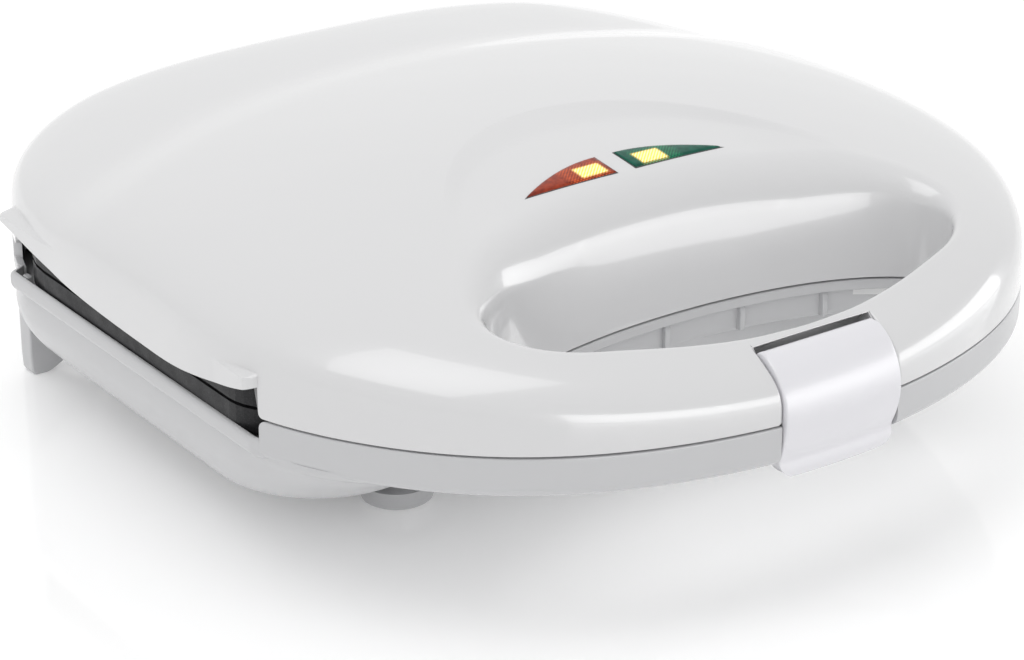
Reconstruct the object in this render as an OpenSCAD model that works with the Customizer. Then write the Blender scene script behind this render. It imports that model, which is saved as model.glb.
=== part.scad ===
// Countertop sandwich toaster. Two hinged halves hold a pair of cooking plates,
// a grip hole runs through the front of both halves, and a clip at the front latches them.
// Millimetres. +Z up, front at -Y, hinge at +Y, the feet stand on z = 0.

/* [Body] */
// Half width of the body at its sides
side_x = 113.3; // [112.5:0.1:114]
// Distance from the design centre to the front of the grip
front_y = 116; // [115:0.5:117]
// Distance from the design centre to the rear wall
back_y = 121.6; // [120.5:0.1:122.5]
// Squareness of the rear corners in plan, 2 is round
back_n = 3.7; // [3:0.1:4.5]
// Height of the plane where the two halves part
part_z = 46.3; // [45.8:0.1:46.8]
// Gap between the two covers on the parting plane
part_gap = 0.6; // [0.4:0.1:0.8]
// Height of the highest point of the lid
crown_z = 82.2; // [81:0.1:84]
// Wall thickness of the two covers
wall = 2.6; // [2.2:0.1:3]

/* [Grip hole] */
// Half width of the grip hole on the parting plane
grip_x = 63; // [60:0.5:64]
// Rear side of the grip hole on the centre line
grip_back = -53; // [-54:0.5:-52]
// Front side of the grip hole on the centre line
grip_front = -95; // [-96:0.5:-93]

/* [Cooking plates] */
// Half width of the plates
plate_x = 109.4; // [108:0.1:110]
// Front edge of the plates
plate_front = -45.5; // [-46:0.5:-44]
// Rear edge of the plates
plate_back = 83; // [80:0.5:85]
// Depth of the sandwich pockets
pocket_d = 9.5; // [8:0.5:10]
// Height of the dark side band of each plate
plate_band = 6; // [5:0.5:7]

/* [Hinge and latch] */
// Radius of the hinge pins
pin_r = 3; // [2.5:0.1:3.2]
// Running clearance of the pins in the lid arms, on the radius
pin_clear = 0.05; // [0.03:0.01:0.08]
// Distance of the hinge axis behind the design centre
hinge_y = 116; // [115.5:0.1:116.5]
// Width of the latch clip
clip_w = 33.6; // [32:0.2:35]
// Radius of the latch pin
clip_pin_r = 1.5; // [1.2:0.1:1.8]

/* [Feet] */
// Radius of the round front feet
foot_r = 9.2; // [8:0.2:10]
// Half distance between the front feet
foot_x = 55.5; // [52:0.5:58]
// Position of the front feet along the depth
foot_y = -18; // [-20:0.5:-15]

/* [Hidden] */
// The front latch reaches front_y + clip_out and the rear wall back_y: this shift centres the part on Y.
clip_out = 1.6;
y_off = -(back_y - front_y - clip_out) / 2;
lid_z0 = part_z + part_gap / 2;
base_z1 = part_z - part_gap / 2;
hinge_z = part_z;
hz = 71;               // half width of the hinge bay in the rear walls
white = [0.93, 0.93, 0.93];
coat = [0.16, 0.16, 0.165];
metal = [0.75, 0.76, 0.78];
segs = 60;             // steps around the covers
rings = 9;             // steps from the edge to the crown

// Plan radius by angle from the front, every 15 degrees, from the front to the side
front_r = [116, 117, 118.5, 120, 119.5, 116.5, 113.3];
function mix(a, b, t) = a + (b - a) * t;
function cat(p0, p1, p2, p3, t) = p1 + 0.5 * t * (p2 - p0 + t * (2 * p0 - 5 * p1 + 4 * p2 - p3 + t * (3 * (p1 - p2) + p3 - p0)));
function fr(i) = front_r[min(6, abs(i))] + (front_y - 116) * (i == 0 ? 1 : 0);
// Plan radius of the body at an angle t measured from the front (-Y) towards +X
function body_r(t) = let (a = abs(((t + 540) % 360) - 180))
  a < 90 ? let (u = a / 15, i = floor(u)) cat(i == 0 ? fr(1) : fr(i - 1), fr(i), fr(i + 1), i > 4 ? fr(6) - 2 : fr(i + 2), u - i) * side_x / 113.3
         : pow(pow(sin(a) / side_x, back_n) + pow(-cos(a) / back_y, back_n), -1 / back_n);
function body_pt(t, s, d) = let (r = (body_r(t) - d) * s) [r * sin(t), -r * cos(t)];
// Crown height over the plan, before the edge is rounded down
function crown(x, y) = max(crown_z - 0.97 * x * x / 1000 - (y > 9 ? 2.05 : 1.12) * (y - 9) * (y - 9) / 1000,
  crown_z - 4.3 - 0.97 * x * x / 1000 - 0.03 * (y - 80));
// Exponents of the edge rounding: the front rolls over early, the sides stand up
function e_m(t) = let (c = cos(t)) c > 0 ? mix(9, 2.6, c * c) : mix(9, 12, c * c);
function e_n(t) = let (c = cos(t)) c > 0 ? mix(3.6, 2.9, c * c) : mix(3.6, 2.4, c * c);
function edge(t, s) = pow(max(0, 1 - pow(s, e_m(t))), 1 / e_n(t));
function dome_z(t, s, d, z0) = let (p = body_pt(t, s, d)) z0 + (crown(p[0], p[1]) - d - z0) * edge(t, s);
// Distance steps from the edge (1) to the crown (0), closer together at the edge
function ring_s(i) = 1 - pow(i / rings, 1.7);

// Closed dome: the outline on the plane z0, rings of points up to the crown, and a straight skirt down to zb
module dome(d, z0, zb) {
  pts = concat(
    [for (k = [0:segs - 1]) let (p = body_pt(360 * k / segs, 1, d)) [p[0], p[1], zb]],
    [for (i = [0:rings - 1], k = [0:segs - 1]) let (t = 360 * k / segs, s = ring_s(i), p = body_pt(t, s, d)) [p[0], p[1], dome_z(t, s, d, z0)]],
    [[0, 0, crown_z - d - 0.09], [0, 0, zb]]);
  top = (rings + 1) * segs;
  faces = concat(
    [for (i = [0:rings - 1], k = [0:segs - 1]) let (a = i * segs + k, b = i * segs + (k + 1) % segs) [a, a + segs, b]],
    [for (i = [0:rings - 1], k = [0:segs - 1]) let (a = i * segs + k, b = i * segs + (k + 1) % segs) [b, a + segs, b + segs]],
    [for (k = [0:segs - 1]) [rings * segs + k, top, rings * segs + (k + 1) % segs]],
    [for (k = [0:segs - 1]) [k, (k + 1) % segs, top + 1]]);
  polyhedron(points = pts, faces = faces, convexity = 6);
}

// Plan outline of the body, drawn d inside the edge
module body_2d(d) { polygon([for (k = [0:2:358]) body_pt(k, 1, d)]); }
// Plan outline of the grip hole, drawn d outside the hole
module grip_2d(d) {
  cy = (grip_back + grip_front) / 2; hy = (grip_back - grip_front) / 2;
  polygon([for (k = [0:5:355]) let (c = cos(k), s = sin(k), q = 2 / 2.6)
    [sign(c) * pow(abs(c), q) * (grip_x + d), cy - 0.0022 * pow(c * (grip_x + d), 2) + sign(s) * pow(abs(s), q) * (hy + d) ]]);
}
// Grip recess of the lid, wider at the top than on the parting plane
module grip_loft(d) {
  hull() {
    translate([0, 0, part_z - 3]) linear_extrude(3) grip_2d(d);
    translate([0, 1.5, crown_z - 14]) linear_extrude(16) grip_2d(d + 4.5);
  }
}
module rrect(x0, x1, y0, y1, r) {
  translate([0, 0, 0]) hull() for (x = [x0 + r, x1 - r], y = [y0 + r, y1 - r]) translate([x, y]) circle(r = r, $fn = 32);
}
// Exact rounded rectangle, made without a hull so that it stays a true outline
module slab(x0, x1, y0, y1, r, h) {
  translate([x0 + r, y0, 0]) cube([x1 - x0 - 2 * r, y1 - y0, h]);
  translate([x0, y0 + r, 0]) cube([x1 - x0, y1 - y0 - 2 * r, h]);
  for (x = [x0 + r, x1 - r], y = [y0 + r, y1 - r]) translate([x, y, 0]) cylinder(r = r, h = h, $fn = 48);
}
// Latch bay: the clip sits in a slot cut in the front of both halves
module clip_bay(z0, z1, y1) { translate([-clip_w / 2 - 0.4, -140, z0]) cube([clip_w + 0.8, 140 + y1, z1 - z0]); }
// Side windows where the edges of the plates show
module side_window(z0, z1) { for (s = [-1, 1]) translate([s * 115 - 10.5, plate_front - 0.7, z0]) cube([21, plate_back - plate_front - 6, z1 - z0]); }
module rib(x, y, l, z0, z1) { hull() for (e = [-l / 2, l / 2]) translate([x, y + e, z0]) cylinder(r = 1, h = z1 - z0, $fn = 8); }

// ---------------- lid ----------------
module top_cover() color(white) {
  difference() {
    union() {
      difference() {
        dome(0, lid_z0, lid_z0 - 0.01);
        dome(wall, lid_z0 - 4, lid_z0 - 5);
      }
      // wall round the grip hole
      intersection() {
        dome(0.4, lid_z0, lid_z0 - 0.01);
        difference() { grip_loft(wall); translate([0, 0, -40]) cube([400, 400, 2 * (lid_z0 + 40)], center = true); }
      }
      // lips over the side windows
      for (s = [-1, 1]) translate([s * 110.2 - 2.3, plate_front - 0.7, 55.8]) cube([4.6, plate_back - plate_front - 6, 2.4]);
      // ribs and screw bosses under the crown
      for (x = [-74, -26, 26, 74]) intersection() { dome(wall / 2, lid_z0, lid_z0 - 0.01); rib(x, 96, 14, 56, crown_z); }
      for (x = [-40, 40]) intersection() { dome(wall / 2, lid_z0, lid_z0 - 0.01); rib(x, -104, 8, lid_z0 + 4.6, crown_z); }
      for (x = [-83, 83], y = [-62, 90]) intersection() { dome(wall / 2, lid_z0, lid_z0 - 0.01); translate([x, y, lid_z0 + 4.45]) cylinder(r = 4, h = 40, $fn = 20); }
      for (x = [-50, 50]) intersection() { dome(wall / 2, lid_z0, lid_z0 - 0.01); translate([x, 101, lid_z0 + 5.65]) cylinder(r = 4, h = 40, $fn = 20); }
    }
    grip_loft(0);
    translate([0, 0, part_z - 20]) linear_extrude(25) grip_2d(0);
    side_window(lid_z0 - 5, 55.8);
    // hinge bay in the rear wall
    translate([-hz, 109, lid_z0 - 5]) cube([2 * hz, 20, 7 + 5 + 0.2]);
    // slot of the latch clip, and the bore of its pin
    clip_bay(lid_z0 - 5, 62.5, -101);
    translate([-clip_w / 2 - 4, -105.2, 56]) rotate([0, 90, 0]) cylinder(r = clip_pin_r, h = clip_w + 8, $fn = 24);
    // seats of the two lenses
    for (s = [-1, 1]) translate([0, 0, 70]) linear_extrude(15) mirror([s < 0 ? 1 : 0, 0]) lens_2d(0);
  }
}
// One lens in plan: straight front edge, square inner end and an arched rear edge running to a tip
module lens_2d(d) {
  polygon(concat([[2.9 + d, -35.2 + d], [29.2 - 2 * d, -35.0 + d]],
    [for (k = [0:6]) let (u = k / 6) [mix(29.2 - 2 * d, 2.9 + d, u), mix(-34.4, -24.8, pow(sin(90 * u), 0.85)) - d]]));
}
module lens(s, c) color(c) translate([0, 0, crown(0, -30) - 3.2]) linear_extrude(3.4) mirror([s < 0 ? 1 : 0, 0]) lens_2d(0.15);
module red_lens() lens(-1, [0.7, 0.12, 0.08, 0.9]);
module green_lens() lens(1, [0.1, 0.4, 0.28, 0.9]);

// Flat frame that closes a half round its plate
module frame_2d(d, g) {
  difference() {
    body_2d(wall + d);
    grip_2d(wall + g);
    translate([-plate_x - 0.3, plate_front - 0.3]) square([2 * plate_x + 0.6, plate_back - plate_front + 0.6]);
    for (s = [-1, 1]) translate([s * 116 - 12, plate_front - 1]) square([24, plate_back - plate_front - 5.4]);
    translate([-hz - 0.5, 92.5]) square([2 * hz + 1, 50]);
    translate([-clip_w / 2 - 3.4, -140]) square([clip_w + 6.8, 140 - 99]);
  }
}
module upper_frame() color(white) translate([0, 0, lid_z0 + 2.6]) linear_extrude(1.8) frame_2d(3.4, 2.4);
module lower_frame() color(white) {
  translate([0, 0, base_z1 - 4.4]) linear_extrude(1.8) frame_2d(0.5, 0.5);
  // screw posts that stand on the floor of the base
  for (x = [-83, 83]) {
    translate([x, -62, 38.45]) cylinder(r = 4.1, h = base_z1 - 3.5 - 38.45, $fn = 40);
    translate([x, 90, 15]) cylinder(r = 4.1, h = base_z1 - 3.5 - 15, $fn = 40);
  }
}

// Cooking plate, pockets facing up, its meeting face on z = 0
module tri(a, b, c, h) hull() for (p = [a, b, c]) translate([p[0], p[1], 0]) cylinder(r = p[2], h = h, $fn = 16);
// Outline with small corners on its low-x side and round ones on its high-x side
module pan_2d(g) hull() {
  for (y = [plate_front + 6 - g + 9, plate_back - 6 + g - 9]) translate([4.5 - g + 9, y]) circle(r = 9, $fn = 32);
  for (y = [plate_front + 6 - g + 26, plate_back - 6 + g - 26]) translate([plate_x - 9.4 + g - 26, y]) circle(r = 26, $fn = 32);
}
module plate() {
  difference() {
    union() {
      translate([0, 0, -plate_band]) linear_extrude(plate_band) hull() for (s = [-1, 1]) {
        translate([s * (plate_x - 13), plate_front + 13]) circle(r = 13, $fn = 32);
        translate([s * (plate_x - 26), plate_back - 26]) circle(r = 26, $fn = 32);
      }
      for (s = [0, 1]) mirror([s, 0, 0]) hull() {
        translate([0, 0, -plate_band]) linear_extrude(1) pan_2d(3);
        translate([0, 0, -pocket_d - 2.6]) linear_extrude(1) pan_2d(0);
      }
    }
    // four triangular pockets, two on each side of the centre line
    for (s = [0, 1]) mirror([s, 0, 0]) {
      hull() {
        translate([0, 0, 0.2]) tri([12, -20, 5], [80, 66, 5], [12, 67, 5], 0.1);
        translate([0, 0, -pocket_d]) tri([15, -8, 3], [70, 63, 3], [15, 63, 3], 0.1);
      }
      hull() {
        translate([0, 0, 0.2]) tri([21, -29, 5], [90, 54, 5], [78, -15, 18], 0.1);
        translate([0, 0, -pocket_d]) tri([31, -26, 3], [87, 43, 3], [76, -13, 14], 0.1);
      }
    }
  }
}
module upper_plate() color(coat) translate([0, 0, lid_z0 + 0.1]) mirror([0, 0, 1]) plate();
module lower_plate() color(coat) translate([0, 0, base_z1 - 0.1]) plate();

// Tubular heating element: a loop with round corners and two cold ends towards the rear
module heater(z) {
  r = 3; b = 16; hx = 66; yf = -20; yr = 52; ex = 16;
  translate([0, 0, z]) {
    for (s = [-1, 1]) {
      translate([s * hx, yf + b, 0]) rotate([-90, 0, 0]) cylinder(r = r, h = yr - yf - 2 * b, $fn = 32);
      translate([s * (hx - b), yf + b, 0]) rotate([0, 0, s > 0 ? -90 : 180]) rotate_extrude(angle = 90, $fn = 64) translate([b, 0]) circle(r = r, $fn = 32);
      translate([s * (hx - b), yr - b, 0]) rotate([0, 0, s > 0 ? 0 : 90]) rotate_extrude(angle = 90, $fn = 64) translate([b, 0]) circle(r = r, $fn = 32);
      translate([s > 0 ? ex : -(hx - b), yr, 0]) rotate([0, 90, 0]) cylinder(r = r, h = hx - b - ex, $fn = 32);
    }
    translate([-(hx - b), yf, 0]) rotate([0, 90, 0]) cylinder(r = r, h = 2 * (hx - b), $fn = 32);
    for (s = [-1, 1]) translate([s > 0 ? ex - 8 : -ex, yr, 0]) rotate([0, 90, 0]) cylinder(r = 1.2, h = 8, $fn = 24);
  }
}
module upper_heater() color(metal) heater(lid_z0 + 0.1 + pocket_d + 2.6 + 3.2);
module lower_heater() color(metal) heater(base_z1 - 0.1 - pocket_d - 2.6 - 3.2);

// Sheet reflector: a shallow pan with its open side towards the plate
module reflector() {
  difference() {
    slab(-78, 78, -28, 60, 12, 7);
    translate([0, 0, -0.8]) slab(-77.2, 77.2, -27.2, 59.2, 11.2, 7);
    for (x = [-60, 0, 60]) translate([x, 16, 5]) cylinder(r = 6, h = 4, $fn = 32);
  }
}
module upper_reflector() color(metal) translate([0, 0, lid_z0 + 0.1 + pocket_d + 3]) reflector();
module lower_reflector() color(metal) translate([0, 0, base_z1 - 0.1 - pocket_d - 3]) mirror([0, 0, 1]) reflector();

module thermostat() color([0.85, 0.82, 0.75]) translate([20, 16, lid_z0 + pocket_d + 10.7]) {
  cylinder(r = 8, h = 5, $fn = 48);
  translate([0, 0, 5]) cylinder(r = 5.5, h = 3.2, $fn = 48);
  for (s = [-1, 1]) translate([s * 9.5 - 3, -3, 2]) cube([6, 6, 0.8]);
}
module thermal_fuse() color([0.92, 0.9, 0.85]) translate([-32, 16, lid_z0 + pocket_d + 13.1]) rotate([0, 90, 0]) {
  cylinder(r = 2.2, h = 22, $fn = 32);
  translate([0, 0, -6]) cylinder(r = 0.7, h = 34, $fn = 24);
}
// Carrier under the lenses, with a tunnel for each lamp
module lamp_holder() color([0.9, 0.9, 0.88]) translate([0, -31, 0]) {
  difference() {
    translate([-22, -5.5, 67]) cube([44, 11, 8]);
    for (s = [-1, 1]) translate([s * 12 - 7.5, -3.3, 68]) cube([15, 6.6, 8]);
  }
}
module lamps() color([1, 0.85, 0.4]) for (s = [-1, 1]) translate([s * 12 - 6, -31, 71.2]) rotate([0, 90, 0]) {
  cylinder(r = 2.6, h = 10, $fn = 32);
  translate([0, 0, 10]) cylinder(r = 1.6, h = 1.8, $fn = 24);
}

// Hinge: barrel segments on one axis, the lid's two between the base's three
module barrel(x0, x1, r) { translate([x0, hinge_y, hinge_z]) rotate([0, 90, 0]) cylinder(r = r, h = x1 - x0, $fn = 64); }
module bores(r) { for (s = [-1, 1]) translate([s > 0 ? 30 : -70.2, hinge_y, hinge_z]) rotate([0, 90, 0]) cylinder(r = r, h = 40.2, $fn = 64); }
module lid_hinge_arms() color(white) difference() {
  union() for (s = [-1, 1]) {
    barrel(s > 0 ? 38.4 : -61.6, s > 0 ? 61.6 : -38.4, 5.4);
    translate([s * 50 - 11.6, 96, lid_z0 + 3.2]) cube([23.2, 16, 2.4]);
    translate([s * 50 - 11.6, hinge_y - 5.2, hinge_z + 0.6]) cube([23.2, 5, 5]);
    for (x = [40.4, 59.6]) translate([s * x - 1.5, 94, lid_z0 + 5.6]) cube([3, 14, 12]);
  }
  bores(pin_r + pin_clear);
}
module base_hinge_block() color(white) difference() {
  union() {
    barrel(-38, 38, 5.4);
    for (s = [-1, 1]) barrel(s > 0 ? 62 : -70.2, s > 0 ? 70.2 : -62, 5.4);
    translate([-37.5, hinge_y - 5, 40]) cube([75, 8, 5]);
    for (s = [-1, 1]) translate([s * 66.1 - 4, hinge_y - 5, 40]) cube([8, 4.5, 5]);
    translate([-70.2, 109.4, 38.1]) cube([140.4, 5.8, 2.4]);
    translate([-40, 109.4, 38.1]) cube([80, 9.4, 2.4]);
    for (s = [-1, 1]) {
      translate([s * 30 - 5.5, 99, 38.1]) cube([11, 12, 2.4]);
      translate([s * 30, 104, 25]) cylinder(r = 4, h = 14, $fn = 40);
    }
  }
  bores(pin_r);
}
module hinge_pins() color(metal) for (s = [-1, 1]) difference() {
  translate([s > 0 ? 30 : -70, hinge_y, hinge_z]) rotate([0, 90, 0]) cylinder(r = pin_r, h = 40, $fn = 64);
  translate([s > 0 ? 29 : -71, hinge_y, hinge_z]) rotate([0, 90, 0]) cylinder(r = pin_r - 0.9, h = 42, $fn = 48);
}

module screw(p, h, up) translate(p) mirror([0, 0, up ? 0 : 1]) difference() {
  union() {
    cylinder(r = 3.2, h = 2, $fn = 40);
    translate([0, 0, 1]) cylinder(r = 1.6, h = h, $fn = 32);
  }
  for (a = [0, 90]) rotate([0, 0, a]) translate([-2.2, -0.4, -1]) cube([4.4, 0.8, 2.1]);
}
module lid_screws() color(metal) {
  for (x = [-83, 83], y = [-62, 90]) screw([x, y, lid_z0 + 0.6], 8, true);
  for (s = [-1, 1]) screw([s * 50, 101, lid_z0 + 1.2], 9, true);
}
module base_screws() color(metal) {
  for (x = [-83, 83], y = [-62, 90]) screw([x, y, base_z1 - 0.6], y < 0 ? 7.6 : 12, false);
  for (s = [-1, 1]) screw([s * 30, 104, 42.5], 8, false);
}

// Wires: straight sleeved runs
module wire(a, b, r) {
  v = b - a; l = norm(v);
  translate(a) rotate([0, acos(v[2] / l), atan2(v[1], v[0])]) cylinder(r = r, h = l, $fn = 24);
}
module lid_wiring() color([0.85, 0.85, 0.82]) {
  wire([29, 84, 68], [33, 28, 71.5], 1.1);
  wire([-29, 84, 68], [-41, 18, 71.5], 1.1);
  wire([4, 48, 74], [4, -23, 72], 0.9);
}
module base_wiring() color([0.85, 0.85, 0.82]) {
  wire([-19, 83.7, 15], [-14, 62, 25], 1.1);
  wire([3, 83.7, 15], [14, 62, 25], 1.1);
  wire([-43, 101, 21], [-24.4, 91, 15], 1.1);
}

// ---------------- latch ----------------
// Side profile of the clip: outer face down the front of the grip, a hook under the base and a finger lip
module latch_clip() color([0.9, 0.89, 0.92]) difference() {
  translate([-clip_w / 2, 0, 0]) rotate([90, 0, 90]) linear_extrude(clip_w) polygon([
    [-102.6, 60.4], [-106, 60.4], [-109.4, 57.6], [-112.6, 54], [-115, 50.2], [-116.6, 46.6], [-117.3, 43.4], [-117.1, 40.4],
    [-116, 38], [-115.2, 36.6], [-116, 34.6], [-115.6, 33.2], [-113.6, 32.8], [-110.4, 33.6], [-109.4, 34.4], [-109.4, 35.4],
    [-112.2, 35.6], [-113.2, 37.6], [-114.2, 40.4], [-114.4, 43.4], [-113.6, 46.4], [-111.6, 50], [-108.6, 53],
    [-106.4, 53.1], [-104, 52.7], [-102.4, 54], [-101.8, 56.6]]);
  translate([-clip_w / 2 - 1, -105.2, 56]) rotate([0, 90, 0]) cylinder(r = clip_pin_r + 0.06, h = clip_w + 2, $fn = 48);
}
module latch_pin() color(metal) translate([-clip_w / 2 - 4, -105.2, 56]) rotate([0, 90, 0]) cylinder(r = clip_pin_r, h = clip_w + 8, $fn = 48);

// ---------------- base ----------------
module belly(d) {
  // rows: height, half width, front, rear, corner radius
  rows = [[40, 112, -53, 117, 42], [30, 109.6, -49, 114.6, 40], [20, 104.6, -43, 110.6, 38], [12, 98.4, -37, 106, 34], [7.5, 92.4, -31.5, 101, 30], [5, 86, -26, 96, 26]];
  hull() for (q = rows) translate([0, 0, q[0] + (d > 0 ? d * (q[0] < 39 ? 1 : 6) : 0)]) linear_extrude(0.02)
    rrect(-q[1] + d, q[1] - d, q[2] + d, q[3] - d, q[4] - d);
}
module bottom_cover() color(white) {
  difference() {
    union() {
      // ring wall under the parting plane, with a rounded lower edge
      hull() {
        translate([0, 0, base_z1 - 1]) linear_extrude(1) body_2d(0.5);
        translate([0, 0, base_z1 - 3]) linear_extrude(1) body_2d(0);
        translate([0, 0, 38]) linear_extrude(0.5) body_2d(0.6);
        translate([0, 0, 36]) linear_extrude(0.5) body_2d(3);
      }
      intersection() { belly(0); translate([0, 0, 17.6]) linear_extrude(39.2, center = true) body_2d(1.25); }
      // seat of the cord inlet
      translate([-45, 104, 22]) rotate([-90, 0, 0]) cylinder(r = 9.6, h = 10.9, $fn = 32);
      // rear leg plates with an arched lower edge
      for (s = [-1, 1]) {
        hull() {
          translate([s * 93, 98, 0]) cylinder(r = 3, h = 36.6, $fn = 16);
          translate([s * 89.6, 98, 0]) cylinder(r = 3, h = 36.6, $fn = 16);
          translate([s * 62, 98, 9]) cylinder(r = 3, h = 27.6, $fn = 16);
        }
      }
    }
    difference() {
      intersection() { belly(wall); translate([0, 0, 30]) linear_extrude(60, center = true) body_2d(1.25 + wall); }
    }
    // hollow of the ring, above its floor
    difference() {
      translate([0, 0, 38.4]) linear_extrude(20) body_2d(wall);
      translate([0, 0, 30]) linear_extrude(40) grip_2d(wall);
      translate([-clip_w / 2 - 0.4 - wall, -140, 30]) cube([clip_w + 0.8 + 2 * wall, 140 - 108.6, 30]);
    }
    translate([0, 0, 20]) linear_extrude(40) grip_2d(0);
    side_window(39.4, 60);
    translate([-hz, 109, 38]) cube([2 * hz, 20, 20]);
    clip_bay(30, 60, -111.4);
    // cord inlet in the rear
    translate([-45, 125, 22]) rotate([90, 0, 0]) cylinder(r = 6.2, h = 25, $fn = 32);
    for (s = [-1, 1]) translate([s * foot_x, foot_y, 0]) cylinder(r = 5.2, h = 12, $fn = 24);
    // sink for the pads of the rear legs
    for (s = [-1, 1]) translate([s * 92, 98, -1]) cylinder(r = 1.6, h = 4, $fn = 20);
  }
  // ribs in the grip hole, under its lip
  for (x = [-36, -12, 12, 36]) hull() { translate([x, grip_back + 1.6 - 0.0022 * x * x, 30]) cylinder(r = 0.9, h = 6, $fn = 8); translate([x, grip_back + 4, 30]) cylinder(r = 0.9, h = 6, $fn = 8); }
}
module front_feet() color(white) for (s = [-1, 1]) translate([s * foot_x, foot_y, 0]) difference() {
  rotate_extrude($fn = 64) polygon([[0, 0.4], [6.2, 0.4], [6.2, 0], [foot_r - 1.2, 0], [foot_r - 0.4, 0.5], [foot_r, 1.6], [foot_r + 0.3, 4.9], [5.1, 4.9], [5.1, 10.5], [0, 10.5]]);
  translate([0, 0, -1]) cylinder(r = 5.6, h = 2.6, $fn = 48);
}
module foot_pads() color([0.25, 0.25, 0.25]) for (s = [-1, 1]) translate([s * foot_x, foot_y, 0]) cylinder(r = 5.5, h = 1.5, $fn = 48);
module rear_pads() color([0.25, 0.25, 0.25]) for (s = [-1, 1]) translate([s * 92, 98, 0]) cylinder(r = 1.5, h = 2.8, $fn = 32);
module cord_bush() color([0.9, 0.9, 0.9]) translate([-45, 0, 22]) rotate([-90, 0, 0]) difference() {
  union() {
    translate([0, 0, 115.1]) cylinder(r1 = 8.4, r2 = 7.4, h = 2.6, $fn = 64);
    translate([0, 0, 103]) cylinder(r = 6.1, h = 12.6, $fn = 64);
    translate([0, 0, 101.9]) cylinder(r = 7.2, h = 2, $fn = 64);
  }
  translate([0, 0, 100]) cylinder(r = 3.3, h = 20, $fn = 48);
}
module terminal_block() color([0.9, 0.9, 0.86]) difference() {
  translate([-24, 84, 9]) cube([34, 12, 11]);
  for (i = [0:2]) translate([-19 + i * 11, 90, 12]) cylinder(r = 2, h = 12, $fn = 32);
  for (i = [0:2]) translate([-19 + i * 11, 80, 15]) rotate([-90, 0, 0]) cylinder(r = 1.6, h = 25, $fn = 32);
}

module put() { translate([0, y_off, 0]) children(); }
put() top_cover();
put() upper_frame();
put() upper_plate();
put() upper_heater();
put() upper_reflector();
put() thermostat();
put() thermal_fuse();
put() lamp_holder();
put() lamps();
put() red_lens();
put() green_lens();
put() lid_hinge_arms();
put() lid_screws();
put() lid_wiring();
put() latch_pin();
put() latch_clip();
put() bottom_cover();
put() lower_frame();
put() lower_plate();
put() lower_heater();
put() lower_reflector();
put() base_hinge_block();
put() hinge_pins();
put() front_feet();
put() foot_pads();
put() rear_pads();
put() cord_bush();
put() terminal_block();
put() base_wiring();
put() base_screws();
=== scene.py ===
import bpy, bmesh, math
import numpy as np
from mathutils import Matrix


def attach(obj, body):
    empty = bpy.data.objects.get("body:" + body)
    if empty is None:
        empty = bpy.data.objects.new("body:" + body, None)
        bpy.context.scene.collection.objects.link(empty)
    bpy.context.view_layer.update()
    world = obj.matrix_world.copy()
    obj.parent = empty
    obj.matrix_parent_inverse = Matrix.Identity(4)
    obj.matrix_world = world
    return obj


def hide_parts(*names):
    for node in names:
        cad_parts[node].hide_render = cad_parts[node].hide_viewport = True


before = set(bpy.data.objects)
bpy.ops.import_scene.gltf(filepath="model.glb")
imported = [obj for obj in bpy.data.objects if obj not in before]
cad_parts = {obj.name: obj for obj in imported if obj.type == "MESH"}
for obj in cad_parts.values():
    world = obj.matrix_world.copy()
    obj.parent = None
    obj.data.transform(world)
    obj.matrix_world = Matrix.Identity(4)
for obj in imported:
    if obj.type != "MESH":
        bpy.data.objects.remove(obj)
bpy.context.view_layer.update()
YS = -2.0  # the design frame in mm sits 2 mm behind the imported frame


# ---------------------------------------------------------------- helpers
def spline(xk, yk, c0=None, c1=None):
    """Cubic spline, natural at an end unless a slope is given there."""
    xk = np.asarray(xk, float); yk = np.asarray(yk, float); n = len(xk); h = np.diff(xk)
    A = np.zeros((n, n)); b = np.zeros(n)
    for i in range(1, n - 1):
        A[i, i - 1] = h[i - 1]; A[i, i] = 2 * (h[i - 1] + h[i]); A[i, i + 1] = h[i]
        b[i] = 6 * ((yk[i + 1] - yk[i]) / h[i] - (yk[i] - yk[i - 1]) / h[i - 1])
    if c0 is None: A[0, 0] = 1
    else: A[0, 0] = 2 * h[0]; A[0, 1] = h[0]; b[0] = 6 * ((yk[1] - yk[0]) / h[0] - c0)
    if c1 is None: A[-1, -1] = 1
    else: A[-1, -1] = 2 * h[-1]; A[-1, -2] = h[-1]; b[-1] = 6 * (c1 - (yk[-1] - yk[-2]) / h[-1])
    m = np.linalg.solve(A, b)

    def f(x):
        x = np.asarray(x, float); i = np.clip(np.searchsorted(xk, x) - 1, 0, n - 2)
        a = xk[i + 1] - x; c = x - xk[i]; hi = h[i]
        return (m[i] * a ** 3 + m[i + 1] * c ** 3) / (6 * hi) + (yk[i] / hi - m[i] * hi / 6) * a + (yk[i + 1] / hi - m[i + 1] * hi / 6) * c
    return f


def smooth(x, a, b):
    t = np.clip((np.asarray(x, float) - a) / (b - a), 0, 1)
    return t * t * (3 - 2 * t)


def srel(t, e):
    """Ramp that starts at zero with a rounded corner of half width e."""
    return np.where(t < -e, 0, np.where(t > e, t, (t + e) ** 2 / (4 * e)))


def metres(P):
    P = np.asarray(P, float).reshape(-1, 3)
    return np.stack([P[:, 0] / 1000, (P[:, 1] + YS) / 1000, P[:, 2] / 1000], 1)


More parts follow.
